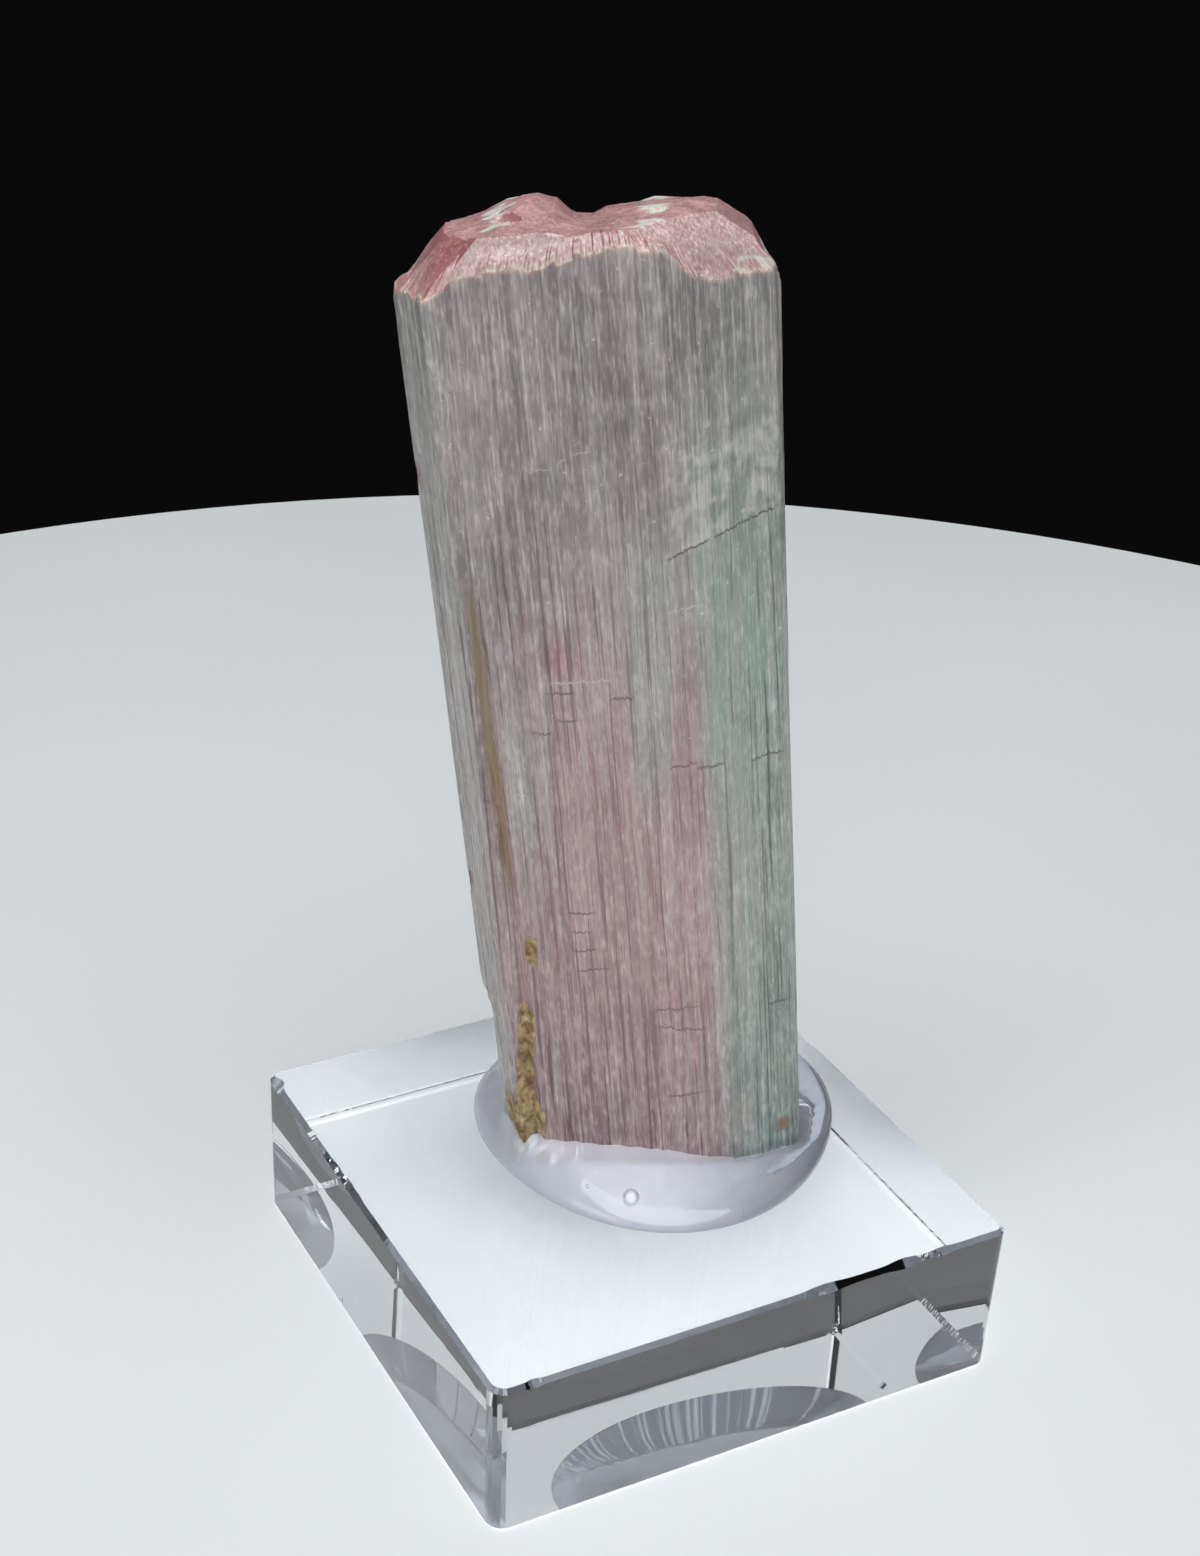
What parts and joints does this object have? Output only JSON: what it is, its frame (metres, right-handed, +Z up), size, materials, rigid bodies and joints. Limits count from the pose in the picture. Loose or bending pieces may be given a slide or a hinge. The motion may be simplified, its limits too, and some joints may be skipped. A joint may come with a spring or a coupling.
{
  "type": "watermelon tourmaline crystal",
  "caption": "Upright pink and green tourmaline crystal with lengthwise ridges and an uneven pink end, held by clear hot-melt glue on a square acrylic display block.",
  "frame": {"origin": "centre of the acrylic block's underside", "axes": "+Z up along the crystal, X and Y along the block's sides, -Y is the block's front side"},
  "size_m": [0.0318, 0.0318, 0.0649],
  "materials": {
    "clear_acrylic": "clear polished acrylic with scuffed and chipped edges",
    "hot_glue": "milky translucent hot-melt glue, glossy",
    "tourmaline": "see-through pink and green crystal, striated, with cracks, clay and chipped end"
  },
  "bodies": {
    "root": {"acrylic_base": "clear_acrylic", "glue_blob": "hot_glue", "tourmaline_crystal": "tourmaline"}
  },
  "joints": []
}
